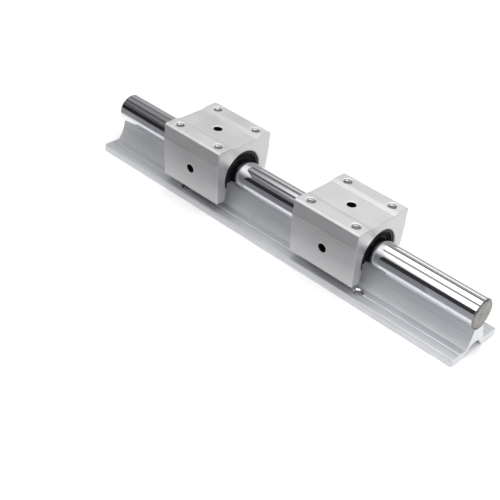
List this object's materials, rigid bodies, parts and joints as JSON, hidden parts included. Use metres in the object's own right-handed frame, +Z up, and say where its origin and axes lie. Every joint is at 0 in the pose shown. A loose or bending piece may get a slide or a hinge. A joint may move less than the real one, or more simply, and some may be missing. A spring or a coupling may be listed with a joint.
{
  "type": "supported round rail",
  "caption": "Ground round shaft held along its length by an extruded aluminium support, with open linear bearing blocks that slide along it.",
  "frame": {"origin": "centre of the support's underside, on the surface that the rail is bolted to", "axes": "+X along the rail, +Y across it, +Z up from the base"},
  "size_m": [0.3, 0.0488, 0.05],
  "materials": {
    "extruded_aluminium": "mill finish, drawn lengthwise",
    "block_aluminium": "satin, machined and anodised clear",
    "chromed_shaft": "ground and hard chromed, mirror bright",
    "black_polymer": "moulded, satin black",
    "seal_rubber": "moulded black rubber",
    "black_steel": "black oxide steel"
  },
  "bodies": {
    "rail": {"support_rail": "extruded_aluminium", "shaft": "chromed_shaft", "left_shaft_screw": "black_steel", "right_shaft_screw": "black_steel"},
    "left_block": {"left_block_housing": "block_aluminium", "left_ball_bush": "black_polymer", "left_block_left_seal": "seal_rubber", "left_block_right_seal": "seal_rubber", "left_locating_screw": "black_steel"},
    "right_block": {"right_block_housing": "block_aluminium", "right_ball_bush": "black_polymer", "right_block_left_seal": "seal_rubber", "right_block_right_seal": "seal_rubber", "right_locating_screw": "black_steel"}
  },
  "joints": [
    {"name": "left_block_slide", "type": "slide", "parent": "rail", "child": "left_block", "axis": [1, 0, 0], "range_m": [-0.06, 0.03175]},
    {"name": "right_block_slide", "type": "slide", "parent": "rail", "child": "right_block", "axis": [1, 0, 0], "range_m": [-0.03175, 0.076]}
  ]
}
